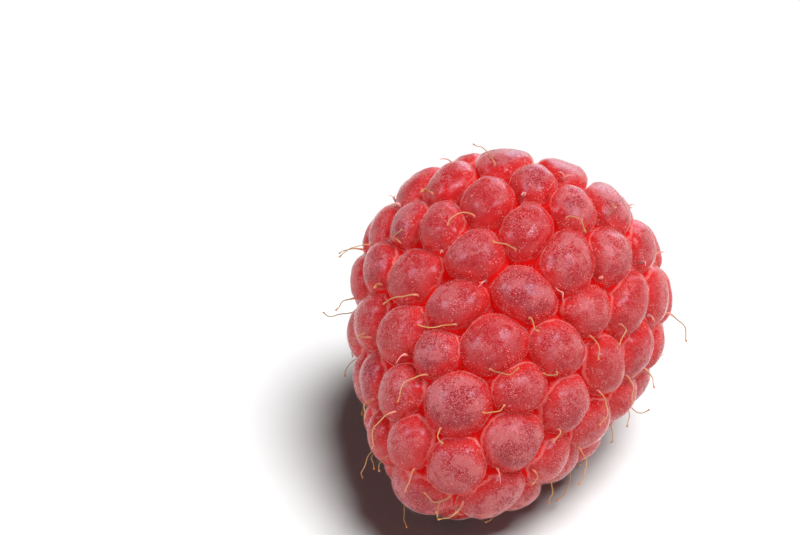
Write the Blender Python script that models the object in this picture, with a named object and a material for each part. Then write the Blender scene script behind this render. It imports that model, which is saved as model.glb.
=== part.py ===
"""A picked raspberry that lies on its side.

Two kinds of piece make it up. The berry is the flesh: a hollow cup of drupelets that grew together,
closed at the tip and open where it was pulled off its core. The styles are the dried threads that
some drupelets still carry.

The flesh is laid out on a skin of revolution about the fruit's axis. The skin's section runs from the
tip down the outside, round the rim and up the hollow. Drupelets sit on a spiral over it, each in its
own cell, and every cell carries a dome that meets its neighbours in a shared crease. The finished
fruit is then turned to the way it rests, with its tip towards -Y.
"""

import math
from itertools import combinations

import bmesh
import bpy
import numpy as np

MM = 0.001

# Driving dimensions, in millimetres. Heights are measured along the fruit's axis from its mouth.
TIP_HEIGHT = 21.2
OUTER_RADIUS = 9.2
RIM_RADIUS = 6.3
RIM_HALF_WIDTH = 1.3
RIM_HEIGHT = 0.9
HOLLOW_RADIUS = 5.0
HOLLOW_HEIGHT = 16.6

# How far apart neighbouring crowns lie on the skin, and how long a rim drupelet is for its width.
SPACING_TIP = 3.1
SPACING_SIDE = 3.5
SPACING_RIM = 3.5
SPACING_HOLLOW = 2.45
RIM_STRETCH = 2.3
STRETCH_REACH = 2.8
RIM_REACH = 3.2
SIDE_LENGTH = 11.0

# The domes over the skin, and the small swellings that line the hollow: how high a crown stands, and
# how deep its oval reaches below the crown.
DOME_HEIGHT = 1.5
RIM_DOME_HEIGHT = 1.3
BUMP_HEIGHT = 0.4
DOME_DEPTH = 1.75
BUMP_DEPTH = 0.5
HEIGHT_SPREAD = 0.08
FOOT_SOFTNESS = 0.06

# How the drupelets are set out.
GOLDEN_ANGLE = math.pi * (3 - math.sqrt(5))
START_ANGLE = 2.87
SEED = 697
WANDER = 0.09
EVENING_ROUNDS = 8
EVENING_SHARE = 0.6
SIZE_SPREAD = 0.045

# How the whole fruit leans and widens on the way to its tip.
WIDER = 1.02
NARROWER = 0.985
DROOP = 0.3
SIDEWAYS_LEAN = 0.9

# How the fruit lies: roughly which side is down, and how far the drupelets underneath are pressed flat.
TIP_DIP = math.radians(15)
ROLL = -0.14
PRESSED = 0.25
UNDERSIDE = 40

# How finely the surface is cut.
PROFILE_STEPS = 160
EDGE_STEPS = 2
DOME_RINGS = 3
RIM_EXTRA_RINGS = 2
BUMP_RINGS = 2
NEIGHBOURS = 24

# The dried styles. A place is a share of the way from a drupelet's crown to its border.
STYLE_COUNT = 56
STYLE_DIAMETER = 0.14
STYLE_ROOT = 0.22
STYLE_POINTS = 7
STYLE_PLACE = 0.72
STYLE_LOWEST = 2.5
STYLE_CLEARANCE = 0.12
STYLE_START_LEAN = 0.35
STYLE_LENGTHS = 1.3, 3.2
STYLE_END_LEANS = 1.0, 1.9
STYLE_SWING = 1.5
STYLE_ASIDE = 1.2


def section_points():
    """Points that lead the skin's section, from the tip, down the outside, round the rim, up the hollow."""
    r, h = OUTER_RADIUS, TIP_HEIGHT
    outside = [(0, h), (0.24 * r, 0.985 * h), (0.47 * r, 0.89 * h), (0.68 * r, 0.73 * h),
               (0.88 * r, 0.54 * h), (1.02 * r, 0.35 * h), (1.00 * r, 0.17 * h)]
    rim = [(RIM_RADIUS + RIM_HALF_WIDTH, RIM_HEIGHT + 0.5), (RIM_RADIUS, RIM_HEIGHT - 0.55),
           (RIM_RADIUS - RIM_HALF_WIDTH, RIM_HEIGHT + 0.6)]
    c, d = HOLLOW_RADIUS, HOLLOW_HEIGHT
    hollow = [(c, 0.22 * d), (0.94 * c, 0.42 * d), (0.84 * c, 0.62 * d), (0.70 * c, 0.80 * d),
              (0.48 * c, 0.95 * d), (0.22 * c, 1.0 * d), (0, 1.005 * d)]
    return np.array(outside + rim + hollow)


def smooth_line(points, steps):
    """Uniform cubic B-spline led by points, whose two ends lie on the axis and cross it squarely."""
    flip = np.array([-1, 1])
    led = np.vstack([points[1] * flip, points, points[-2] * flip])
    t = np.linspace(0, 1, steps, endpoint=False)[:, None, None]
    weights = (1 - t) ** 3, 3 * t**3 - 6 * t**2 + 4, -3 * t**3 + 3 * t**2 + 3 * t + 1, t**3
    stretches = len(led) - 3
    line = sum(w * led[i : i + stretches] for i, w in enumerate(weights)) / 6
    line = line.transpose(1, 0, 2).reshape(-1, 2)
    last = (led[-3] + 4 * led[-2] + led[-1]) / 6
    return np.vstack([line, last])


def unit(vectors):
    return vectors / np.linalg.norm(vectors, axis=-1, keepdims=True)


class Skin:
    """The skin of revolution, and an even map between it and a ball, on which the cells are found."""

    def __init__(self):
        line = smooth_line(section_points(), PROFILE_STEPS)
        self.radius, self.height = line.T
        self.radius[[0, -1]] = 0
        steps = np.hypot(*np.diff(line, axis=0).T)
        self.length = np.concatenate([[0], np.cumsum(steps)])
        slope_r = np.gradient(self.radius, self.length)
        slope_h = np.gradient(self.height, self.length)
        size = np.hypot(slope_r, slope_h)
        self.normal_r, self.normal_h = -slope_h / size, slope_r / size
        self.rim = self.length[np.argmin(self.height)]
        middle_radius = (self.radius[1:] + self.radius[:-1]) / 2
        stretch = self.stretch((self.length[1:] + self.length[:-1]) / 2)
        rise = np.concatenate([[0], np.cumsum(steps / (stretch * middle_radius))])
        self.rise = rise - np.interp(self.rim, self.length, rise)

    def stretch(self, length):
        """How long a cell is for its width: more round the rim, where drupelets fold over it."""
        return 1 + (RIM_STRETCH - 1) * np.exp(-(((length - self.rim) / STRETCH_REACH) ** 2))

    def spacing(self, length):
        """Distance between neighbouring crowns at this length along the section."""
        past = length - self.rim
        outside = SPACING_TIP + (SPACING_SIDE - SPACING_TIP) * np.clip(length / SIDE_LENGTH, 0, 1)
        wide = outside + (SPACING_RIM - outside) * np.exp(-((past / 3.0) ** 2))
        inside = 1 / (1 + np.exp(-(past - 3.4) / 0.5))
        return wide + (SPACING_HOLLOW - wide) * inside

    def in_hollow(self, length):
        """0 outside and on the rim, 1 in the hollow."""
        return 1 / (1 + np.exp(-(length - self.rim - 2.9) / 0.45))

    def crest(self, length):
        """Height of a crown over the skin: tall outside, lower on the rim, a mere bump in the hollow."""
        on_rim = np.exp(-(((length - self.rim) / 2.5) ** 2))
        tall = DOME_HEIGHT + (RIM_DOME_HEIGHT - DOME_HEIGHT) * on_rim
        return tall + (BUMP_HEIGHT - tall) * self.in_hollow(length)

    def depth(self, length):
        """How deep a dome's oval reaches below its crown."""
        return DOME_DEPTH + (BUMP_DEPTH - DOME_DEPTH) * self.in_hollow(length)

    def to_ball(self, angle, length):
        """Unit vectors of the ball for places on the skin."""
        turn = 2 * np.arctan(np.exp(np.interp(length, self.length, self.rise)))
        return np.stack([np.sin(turn) * np.cos(angle), np.sin(turn) * np.sin(angle), np.cos(turn)], -1)

    def along(self, ball):
        """Length along the section for unit vectors of the ball."""
        flat = np.hypot(ball[..., 0], ball[..., 1])
        turn = np.arctan2(flat, ball[..., 2])
        return np.interp(np.log(np.tan(turn / 2) + 1e-300), self.rise, self.length)

    def place(self, ball):
        """Places on the skin and the outward normals there, for unit vectors of the ball."""
        length = self.along(ball)
        flat = np.maximum(np.hypot(ball[..., 0], ball[..., 1]), 1e-300)
        east, north = ball[..., 0] / flat, ball[..., 1] / flat
        r, h, nr, nh = (
            np.interp(length, self.length, values)
            for values in (self.radius, self.height, self.normal_r, self.normal_h)
        )
        return np.stack([r * east, r * north, h], -1), np.stack([nr * east, nr * north, nh], -1)


def spiral_seeds(skin, random):
    """One seed for each crown, a golden angle past the last and onward as the section's room fills."""
    middle = (skin.length[1:] + skin.length[:-1]) / 2
    ring = 2 * math.pi * np.interp(middle, skin.length, skin.radius) * np.diff(skin.length)
    room = math.sqrt(3) / 2 * skin.spacing(middle) ** 2 * skin.stretch(middle)
    filled = np.concatenate([[0], np.cumsum(ring / room)])
    count = round(filled[-1])
    number = np.arange(count)
    length = np.interp((number + 0.5) / count * filled[-1], filled, skin.length)
    angle = START_ANGLE + GOLDEN_ANGLE * number
    aside, onward = random.uniform(-1, 1, (2, count)) * WANDER * skin.spacing(length)
    length = np.clip(length + onward, 0.2, skin.length[-1] - 0.2)
    radius = np.interp(length, skin.length, skin.radius)
    angle += aside / np.maximum(radius, 1.5)
    return skin.to_ball(angle, length)


def neighbour_triples(raised):
    """Every three neighbouring seeds: the plane through them has all the other seeds behind it."""
    flat = np.maximum(np.hypot(*raised[:, :2].T), 1e-4)
    apart = ((raised[:, None] - raised[None]) ** 2).sum(-1) / (flat[:, None] * flat)
    near = np.argsort(apart, axis=1)[:, 1 : NEIGHBOURS + 1]
    pairs = np.array(list(combinations(range(NEIGHBOURS), 2)))
    own = np.repeat(np.arange(len(raised)), len(pairs))
    triples = np.column_stack([own, near[:, pairs[:, 0]].ravel(), near[:, pairs[:, 1]].ravel()])
    triples = np.unique(np.sort(triples, axis=1), axis=0)
    a, b, c = (raised[triples[:, i]] for i in range(3))
    normal = unit(np.cross(b - a, c - a))
    normal *= np.sign((normal * a).sum(-1, keepdims=True))
    ahead = (raised @ normal.T - (normal * a).sum(-1)).max(axis=0)
    kept = ahead < 1e-11
    return triples[kept], normal[kept]


def evened(seeds):
    """The seeds moved part of the way to the middles of their own cells."""
    triples, corners = neighbour_triples(seeds)
    middle = np.zeros_like(seeds)
    for i in range(3):
        np.add.at(middle, triples[:, i], corners)
    return unit(seeds * (1 - EVENING_SHARE) + unit(middle) * EVENING_SHARE)


class Cells:
    """The cells round the seeds: shared corners and edges, and for each seed its border in order."""

    def __init__(self, skin, random):
        self.seeds = spiral_seeds(skin, random)
        for _ in range(EVENING_ROUNDS):
            self.seeds = evened(self.seeds)
        length = skin.along(self.seeds)
        across = np.hypot(*self.seeds[:, :2].T)
        radius = np.interp(length, skin.length, skin.radius)
        width = skin.spacing(length) * across / np.maximum(radius, 0.3)
        uneven = 1 + random.uniform(-1, 1, len(length)) * SIZE_SPREAD * width**2
        triples, corners = neighbour_triples(self.seeds * uneven[:, None])
        if len(triples) != 2 * len(self.seeds) - 4:
            raise RuntimeError("the cells don't close")
        self.count = len(corners)
        borders, edges = [corners], {}
        self.rings = [self.ring(i, triples, corners, edges, borders) for i in range(len(self.seeds))]
        self.border = np.vstack(borders)

    def ring(self, seed, triples, corners, edges, borders):
        """Numbers of a cell's border points, counter-clockwise seen from outside."""
        own = np.flatnonzero((triples == seed).any(axis=1))
        centre = self.seeds[seed]
        side = unit(np.cross([0.3, 0.5, 0.8], centre))
        off = corners[own]
        own = own[np.argsort(np.arctan2(off @ np.cross(centre, side), off @ side))]
        ring = []
        for start, end in zip(own, np.roll(own, -1)):
            key = min(start, end), max(start, end)
            if key not in edges:
                t = np.arange(1, EDGE_STEPS)[:, None] / EDGE_STEPS
                between = unit(corners[key[0]] * (1 - t) + corners[key[1]] * t)
                edges[key] = list(range(self.count, self.count + len(between)))
                self.count += len(between)
                borders.append(between)
            ring += [start] + (edges[key] if start < end else edges[key][::-1])
        return np.array(ring)


class Dome:
    """One cell's dome: its crown, and an oval fitted to its border."""

    def __init__(self, skin, border, random):
        self.border = border
        self.crown = unit(border.mean(axis=0))
        self.length = skin.along(self.crown)
        self.outer = self.length < skin.rim + RIM_REACH
        self.on_rim = abs(self.length - skin.rim) < RIM_REACH
        self.top = skin.crest(self.length) * (1 + random.uniform(-HEIGHT_SPREAD, HEIGHT_SPREAD))
        self.depth = skin.depth(self.length)
        east = unit(np.cross([0, 0, 1], self.crown))
        north = np.cross(self.crown, east)
        place, _ = skin.place(np.vstack([self.crown, border]))
        reach = np.linalg.norm(place[1:] - place[0], axis=-1)
        spots = unit(np.stack([border @ east, border @ north], -1)) * reach[:, None]
        spread = 2 * spots.T @ spots / len(spots)
        self.size = np.linalg.det(spread) ** 0.25
        self.share = np.sqrt(((spots @ np.linalg.inv(spread)) * spots).sum(-1))
        self.foot = self.height(self.share)

    def height(self, share):
        """Height over the skin at a share of the oval's reach: a quarter round that ends on a soft floor."""
        rest = 1 - share**2
        bow = np.sqrt((rest + np.sqrt(rest**2 + FOOT_SOFTNESS**2)) / 2)
        return self.top - self.depth * (1 - bow)

    def top_point(self, skin):
        place, normal = skin.place(self.crown)
        return place + normal * self.top

    def style_spot(self, skin):
        """Where the style stands, most of the way to the border point nearest the tip, and the normal."""
        index = np.argmin(skin.along(self.border))
        ball = unit(self.crown * (1 - STYLE_PLACE) + self.border[index] * STYLE_PLACE)
        place, normal = skin.place(ball)
        return place + normal * self.height(STYLE_PLACE * self.share[index]), normal

    def surface(self, skin, crease, rings):
        """Places on the dome, ring by ring outwards from the crown, without the crown and the border.

        Each spoke runs from the crown to a border point, and near the border its height eases over to
        the crease that the neighbouring domes share.
        """
        out = np.sin(np.arange(1, rings) / rings * math.pi / 2)[:, None]
        ball = unit(self.crown * (1 - out[..., None]) + self.border * out[..., None])
        place, normal = skin.place(ball)
        height = self.height(out * self.share) + (crease - self.foot) * out**6
        return place + normal * height[..., None]


def lopsided(points):
    """The whole fruit is a little wider one way than the other, and leans on the way to its tip."""
    x, y, h = points.T
    rise = h / TIP_HEIGHT
    return np.stack([x * WIDER + DROOP * rise**2, y * NARROWER - SIDEWAYS_LEAN * rise**2, h], -1)


def flesh_surface(skin, cells, domes):
    """Points and faces of the flesh in the fruit's own frame."""
    total, shared = np.zeros((2, cells.count))
    for ring, dome in zip(cells.rings, domes):
        total[ring] += dome.foot
        shared[ring] += 1
    crease = total / shared
    place, normal = skin.place(cells.border)
    points, faces, count = [place + normal * crease[:, None]], [], cells.count
    for ring, dome in zip(cells.rings, domes):
        rings = (DOME_RINGS if dome.outer else BUMP_RINGS) + RIM_EXTRA_RINGS * dome.on_rim
        inner = dome.surface(skin, crease[ring], rings)
        points += [dome.top_point(skin)[None], inner.reshape(-1, 3)]
        rows = [count + 1 + np.arange(len(ring)) + k * len(ring) for k in range(rings - 1)] + [ring]
        faces += [(count, a, b) for a, b in zip(rows[0], np.roll(rows[0], -1))]
        for near, far in zip(rows, rows[1:]):
            corners = zip(near, far, np.roll(far, -1), np.roll(near, -1))
            faces += list(corners)
        count += 1 + inner.shape[0] * inner.shape[1]
    return lopsided(np.vstack(points)), [[int(i) for i in face] for face in faces]


def middle_of_mass(points, faces):
    """Centre of the solid inside the faces, summed over the wedges between each triangle and the origin."""
    corners = np.array([(f[0], f[i], f[i + 1]) for f in faces for i in range(1, len(f) - 1)])
    a, b, c = (points[corners[:, i]] for i in range(3))
    wedge = (np.cross(a, b) * c).sum(-1)
    return ((a + b + c) * wedge[:, None]).sum(axis=0) / 4 / wedge.sum()


def balls_in(skin, domes):
    """The domes as balls that touch their crowns from inside: middles and sizes."""
    place, normal = skin.place(np.array([d.crown for d in domes]))
    sizes = np.array([d.size for d in domes])
    tops = np.array([d.top for d in domes])
    return place + normal * (tops - sizes)[:, None], sizes


def way_down(middles, sizes, centre):
    """Direction towards the surface that the fruit comes to rest on, and that surface's distance.

    It rests on three drupelets, taken as balls: the plane that touches them has all the others on its
    own side, and the middle of mass stands over the triangle between them.
    """
    wanted = np.array(
        [math.cos(ROLL) * math.cos(TIP_DIP), math.sin(ROLL) * math.cos(TIP_DIP), math.sin(TIP_DIP)]
    )
    lowest = np.argsort(-(middles @ wanted + sizes))[:UNDERSIDE]
    threes = np.array(list(combinations(lowest, 3)))
    a, b, c = (middles[threes[:, i]] for i in range(3))
    size_a, size_b, size_c = (sizes[threes[:, i]] for i in range(3))
    u, v = b - a, c - a
    square = np.cross(u, v)
    tilt = (size_a - size_b)[:, None] * np.cross(v, square) + (size_a - size_c)[:, None] * np.cross(square, u)
    tilt /= (square**2).sum(-1, keepdims=True)
    rest = np.sqrt(np.clip(1 - (tilt**2).sum(-1, keepdims=True), 0, 1))
    down = tilt + unit(square) * rest * np.sign((square * wanted).sum(-1, keepdims=True))
    level = (down * a).sum(-1) + size_a
    touches = (down @ middles.T + sizes).max(axis=1) < level + 1e-9
    spots = [corner - centre for corner in (a, b, c)]
    turns = [(np.cross(p, q) * down).sum(-1) for p, q in zip(spots, spots[1:] + spots[:1])]
    held = (np.sign(turns) == np.sign(turns[0])).all(axis=0)
    good = np.flatnonzero(touches & held)
    if len(good) == 0:
        raise RuntimeError("the fruit finds no three drupelets to rest on")
    best = good[np.argmax(down[good] @ wanted)]
    return down[best], level[best]


def laid_down(down):
    """Rows of the turn that points down at -Z and the tip towards -Y."""
    up = -down
    back = unit(np.array([0, 0, -1]) + up * up[2])
    return np.stack([np.cross(back, up), back, up])


def style_path(root, normal, heading, length, end_lean, swing):
    """A thread that leaves along the normal, leans over towards its heading and swings aside as it goes."""
    t = np.linspace(0, 1, STYLE_POINTS)
    lean = STYLE_START_LEAN + (end_lean - STYLE_START_LEAN) * t * t * (3 - 2 * t)
    across = np.cross(normal, heading)
    turn = swing * t * t
    flat = heading * np.cos(turn)[:, None] + across * np.sin(turn)[:, None]
    way = normal * np.cos(lean)[:, None] + flat * np.sin(lean)[:, None]
    hops = (way[1:] + way[:-1]) / 2 * length / (STYLE_POINTS - 1)
    path = root + np.vstack([np.zeros(3), np.cumsum(hops, axis=0)])
    path[0] -= normal * STYLE_ROOT
    return path


def style_paths(skin, domes, turn, rise, random):
    """Threads for drupelets picked at random from those that nothing rubs, in the resting frame."""
    middles, sizes = balls_in(skin, domes)
    paths = []
    for number in random.permutation(len(domes)):
        dome = domes[number]
        root, normal = dome.style_spot(skin)
        draw = random.uniform(0, 1, 5)
        too_low = (turn @ lopsided(root[None])[0])[2] + rise < STYLE_LOWEST
        if dome.length > skin.rim - 1 or too_low or len(paths) == STYLE_COUNT:
            continue
        tipward = unit(np.array([0, 0, 1]) - normal * normal[2])
        aside = STYLE_ASIDE * (2 * draw[0] - 1)
        heading = tipward * math.cos(aside) + np.cross(normal, tipward) * math.sin(aside)
        length = np.interp(draw[1] ** 1.3, [0, 1], STYLE_LENGTHS)
        end_lean = np.interp(draw[2], [0, 1], STYLE_END_LEANS)
        path = style_path(root, normal, heading, length, end_lean, STYLE_SWING * (2 * draw[3] - 1))
        gaps = np.linalg.norm(path[:, None] - middles, axis=-1) - sizes
        if np.delete(gaps, number, axis=1).min() > STYLE_CLEARANCE:
            paths.append(lopsided(path) @ turn.T + [0, 0, rise])
    return paths


def press_flat(mesh):
    """Takes off what is below the ground, and leaves a flat face on each drupelet that stood there."""
    shape = bmesh.new()
    shape.from_mesh(mesh)
    everything = shape.verts[:] + shape.edges[:] + shape.faces[:]
    bmesh.ops.bisect_plane(
        shape, geom=everything, plane_co=(0, 0, 0), plane_no=(0, 0, -1), clear_outer=True, dist=1e-7
    )
    bmesh.ops.holes_fill(shape, edges=[e for e in shape.edges if e.is_boundary])
    shape.to_mesh(mesh)
    shape.free()


def plain_material(name, colour, roughness):
    material = bpy.data.materials.new(name)
    material.use_nodes = True
    shader = material.node_tree.nodes["Principled BSDF"]
    shader.inputs["Base Color"].default_value = (*colour, 1)
    shader.inputs["Roughness"].default_value = roughness
    shader.inputs["Metallic"].default_value = 0.0
    return material


def add_object(name, data, material):
    data.materials.append(material)
    obj = bpy.data.objects.new(name, data)
    bpy.context.collection.objects.link(obj)
    return obj


def add_berry(points, faces):
    mesh = bpy.data.meshes.new("berry")
    mesh.from_pydata(points * MM, [], faces)
    press_flat(mesh)
    mesh.shade_smooth()
    add_object("berry", mesh, plain_material("ripe_flesh", (0.58, 0.06, 0.07), 0.5))


def add_style(name, path, material):
    """A round thread along the path, closed at both ends."""
    curve = bpy.data.curves.new(name, "CURVE")
    curve.dimensions = "3D"
    curve.bevel_depth = STYLE_DIAMETER / 2 * MM
    curve.bevel_resolution = 1
    curve.use_fill_caps = True
    line = curve.splines.new("POLY")
    line.points.add(len(path) - 1)
    line.points.foreach_set("co", np.column_stack([path * MM, np.ones(len(path))]).ravel())
    add_object(name, curve, material)


def main():
    for thing in list(bpy.data.objects):
        bpy.data.objects.remove(thing)
    random = np.random.default_rng(SEED)
    skin = Skin()
    cells = Cells(skin, random)
    domes = [Dome(skin, cells.border[ring], random) for ring in cells.rings]
    points, faces = flesh_surface(skin, cells, domes)

    middles, sizes = balls_in(skin, domes)
    down, level = way_down(lopsided(middles), sizes, middle_of_mass(points, faces))
    turn, rise = laid_down(down), level - PRESSED
    points = points @ turn.T + [0, 0, rise]
    paths = style_paths(skin, domes, turn, rise, random)

    everything = np.vstack([points, *paths])
    middle = (everything.max(axis=0) + everything.min(axis=0)) / 2 * [1, 1, 0]
    add_berry(points - middle, faces)
    straw = plain_material("dried_style", (0.62, 0.42, 0.12), 0.6)
    for number, path in enumerate(paths, 1):
        add_style(f"style_{number:02d}", path - middle, straw)


main()
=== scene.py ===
# %% [markdown]
# # A picked raspberry on its side
#
# A raspberry is not one smooth fruit. It is about a hundred small juicy balls, the drupelets, grown
# together round a core. When it is picked, the core stays on the plant, so the fruit is a hollow cup.
# Short pale hairs cover the drupelets, and some of them still carry a dried style.
#
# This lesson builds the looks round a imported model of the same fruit, which gives the place and size of
# every piece. Each piece is worked out again here as a fine surface and gets its finish. Copies of a
# ball could be scattered over a cone instead, but a ball has no crease where it meets its neighbour,
# and the creases are what make a raspberry.

# %% Load the frame
import math
from itertools import combinations

import bpy
import numpy as np
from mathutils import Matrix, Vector


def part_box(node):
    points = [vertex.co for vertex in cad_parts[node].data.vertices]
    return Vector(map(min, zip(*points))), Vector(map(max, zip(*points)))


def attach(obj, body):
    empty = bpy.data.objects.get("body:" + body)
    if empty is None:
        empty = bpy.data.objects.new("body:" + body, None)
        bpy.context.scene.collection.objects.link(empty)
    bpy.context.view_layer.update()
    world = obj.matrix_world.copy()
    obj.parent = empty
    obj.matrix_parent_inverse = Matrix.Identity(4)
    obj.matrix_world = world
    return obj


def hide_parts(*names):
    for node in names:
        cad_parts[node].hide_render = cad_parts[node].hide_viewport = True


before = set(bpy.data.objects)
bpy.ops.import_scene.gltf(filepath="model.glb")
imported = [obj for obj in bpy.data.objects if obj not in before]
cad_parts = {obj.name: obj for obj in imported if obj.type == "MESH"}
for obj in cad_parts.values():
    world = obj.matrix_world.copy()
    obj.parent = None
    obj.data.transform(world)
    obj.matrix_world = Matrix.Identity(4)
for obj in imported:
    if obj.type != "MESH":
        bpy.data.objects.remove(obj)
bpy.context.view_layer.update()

MM = 0.001
berry_low, berry_high = (np.array(corner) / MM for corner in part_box("berry"))
style_nodes = sorted(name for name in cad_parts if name.startswith("style_"))
print(f"The flesh fills {np.round(berry_high - berry_low, 1)} mm and carries {len(style_nodes)} styles")

# %% [markdown]
# ## The skin under the drupelets
#
# Under its bumps the fruit is a shape of revolution: a rounded cone outside, a rolled rim at the mouth
# and a deep hollow. It could be turned with a Screw modifier. Here its section is a smooth line led by a
# few points, because each drupelet has to know how far along that line it sits and which way the skin
# faces there. All sizes are in millimetres until they go into a mesh.

# %% The section's line
TIP_HEIGHT = 21.2
OUTER_RADIUS = 9.2
RIM_RADIUS = 6.3
RIM_HALF_WIDTH = 1.3
RIM_HEIGHT = 0.9
HOLLOW_RADIUS = 5.0
HOLLOW_HEIGHT = 16.6
PROFILE_STEPS = 160


def unit(vectors):
    """Each vector divided by its own length."""
    return vectors / np.linalg.norm(vectors, axis=-1, keepdims=True)


def section_points():
    """Points that lead the section: from the tip, down the outside, round the rim, up the hollow."""
    r, h = OUTER_RADIUS, TIP_HEIGHT
    outside = [(0, h), (0.24 * r, 0.985 * h), (0.47 * r, 0.89 * h), (0.68 * r, 0.73 * h),
               (0.88 * r, 0.54 * h), (1.02 * r, 0.35 * h), (1.00 * r, 0.17 * h)]
    rim = [(RIM_RADIUS + RIM_HALF_WIDTH, RIM_HEIGHT + 0.5), (RIM_RADIUS, RIM_HEIGHT - 0.55),
           (RIM_RADIUS - RIM_HALF_WIDTH, RIM_HEIGHT + 0.6)]
    c, d = HOLLOW_RADIUS, HOLLOW_HEIGHT
    hollow = [(c, 0.22 * d), (0.94 * c, 0.42 * d), (0.84 * c, 0.62 * d), (0.70 * c, 0.80 * d),
              (0.48 * c, 0.95 * d), (0.22 * c, 1.0 * d), (0, 1.005 * d)]
    return np.array(outside + rim + hollow)


def smooth_line(points, steps):
    """A cubic B-spline: every four led points in a row are mixed with weights (1-t)^3, 3t^3-6t^2+4,
    -3t^3+3t^2+3t+1 and t^3, all over 6. A mirrored point past each end makes it meet the axis squarely."""
    flip = np.array([-1, 1])
    led = np.vstack([points[1] * flip, points, points[-2] * flip])
    t = np.linspace(0, 1, steps, endpoint=False)[:, None, None]
    weights = (1 - t) ** 3, 3 * t**3 - 6 * t**2 + 4, -3 * t**3 + 3 * t**2 + 3 * t + 1, t**3
    stretches = len(led) - 3
    line = sum(w * led[i : i + stretches] for i, w in enumerate(weights)) / 6
    line = line.transpose(1, 0, 2).reshape(-1, 2)
    last = (led[-3] + 4 * led[-2] + led[-1]) / 6
    return np.vstack([line, last])


section = smooth_line(section_points(), PROFILE_STEPS)
section[[0, -1], 0] = 0
section_radius, section_height = section.T
section_steps = np.hypot(*np.diff(section, axis=0).T)
section_length = np.concatenate([[0], np.cumsum(section_steps)])
rim_length = section_length[np.argmin(section_height)]
print(f"The section is {section_length[-1]:.1f} mm long and turns over the rim at {rim_length:.1f} mm")

# %% [markdown]
# ## How big a drupelet is, and where
#
# Drupelets are smallest at the tip, larger down the side, and long where they fold over the rim. The
# hollow has only low swellings, the scars where the drupelets let go of the core. These sizes are
# functions of one number, the length along the section, so that they change smoothly.

# %% How wide and how long
SPACING_TIP = 3.1
SPACING_SIDE = 3.5
SPACING_RIM = 3.5
SPACING_HOLLOW = 2.45
SIDE_LENGTH = 11.0
RIM_SPACING_REACH = 3.0
SMALL_CELLS_FROM = 3.4
SMALL_CELLS_SOFTNESS = 0.5
RIM_STRETCH = 2.3
STRETCH_REACH = 2.8


def rim_bell(length, reach):
    """1 at the rim and falling off on both sides: e to the minus square of the distance over the reach."""
    return np.exp(-(((length - rim_length) / reach) ** 2))


def step_past_rim(length, start, softness):
    """0 outside, 1 in the hollow: 1 over 1 plus e to the minus way past the start over the softness."""
    return 1 / (1 + np.exp(-(length - rim_length - start) / softness))


def stretch(length):
    """How long a drupelet is for its width: 1, and a bell-shaped rise to RIM_STRETCH at the rim."""
    return 1 + (RIM_STRETCH - 1) * rim_bell(length, STRETCH_REACH)


def spacing(length):
    """Distance between crowns: a ramp down the side, a bell at the rim, then a soft step in the hollow."""
    outside = SPACING_TIP + (SPACING_SIDE - SPACING_TIP) * np.clip(length / SIDE_LENGTH, 0, 1)
    wide = outside + (SPACING_RIM - outside) * rim_bell(length, RIM_SPACING_REACH)
    inside = step_past_rim(length, SMALL_CELLS_FROM, SMALL_CELLS_SOFTNESS)
    return wide + (SPACING_HOLLOW - wide) * inside


print(f"Crowns are {spacing(0.0):.1f} mm apart at the tip and {spacing(rim_length):.1f} mm at the rim")

# %% How high and how deep
RIM_REACH = 3.2
DOME_HEIGHT = 1.5
RIM_DOME_HEIGHT = 1.3
RIM_HEIGHT_REACH = 2.5
BUMP_HEIGHT = 0.4
DOME_DEPTH = 2.05
BUMP_DEPTH = 0.5
HOLLOW_FROM = 2.9
HOLLOW_SOFTNESS = 0.45


def in_hollow(length):
    """A soft step: 0 outside and on the rim, 1 in the hollow."""
    return step_past_rim(length, HOLLOW_FROM, HOLLOW_SOFTNESS)


def crest(length):
    """Height of a crown over the skin: tall outside, a little lower on the rim, a mere bump inside."""
    tall = DOME_HEIGHT + (RIM_DOME_HEIGHT - DOME_HEIGHT) * rim_bell(length, RIM_HEIGHT_REACH)
    return tall + (BUMP_HEIGHT - tall) * in_hollow(length)


def depth(length):
    """How deep a drupelet's round reaches below its crown."""
    return DOME_DEPTH + (BUMP_DEPTH - DOME_DEPTH) * in_hollow(length)


print(f"Crowns are {crest(0.0):.1f} mm high at the tip and {crest(rim_length):.1f} mm on the rim")

# %% [markdown]
# ## A ball to lay the pattern out on
#
# Neighbours are easy to find on a ball, where a plane through three points cuts off a round patch. The
# skin isn't a ball, but its angle round the axis and its length along the section can be carried over so
# that small shapes keep their proportions, as on a sea chart. Every place on the fruit then has a
# partner on the ball, and the pattern is laid out there.

# %% The chart's rise along the section
TINY = 1e-300
slope_r = np.gradient(section_radius, section_length)
slope_h = np.gradient(section_height, section_length)
slope = np.hypot(slope_r, slope_h)
normal_r, normal_h = -slope_h / slope, slope_r / slope
middle_length = (section_length[1:] + section_length[:-1]) / 2
middle_radius = (section_radius[1:] + section_radius[:-1]) / 2
climb = section_steps / (stretch(middle_length) * middle_radius)
section_rise = np.concatenate([[0], np.cumsum(climb)])
section_rise -= np.interp(rim_length, section_length, section_rise)
print(f"The chart runs from {section_rise[0]:.1f} at the tip to {section_rise[-1]:.1f} in the hollow")

# %% To the ball and back


def to_ball(angle, length):
    """Partner on the ball: its angle from the pole is twice the arctangent of e to the chart's rise."""
    turn = 2 * np.arctan(np.exp(np.interp(length, section_length, section_rise)))
    return np.stack([np.sin(turn) * np.cos(angle), np.sin(turn) * np.sin(angle), np.cos(turn)], -1)


def along(ball):
    """Length along the section: the chart's rise is the logarithm of the half angle's tangent."""
    flat = np.hypot(ball[..., 0], ball[..., 1])
    turn = np.arctan2(flat, ball[..., 2])
    return np.interp(np.log(np.tan(turn / 2) + TINY), section_rise, section_length)


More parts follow.
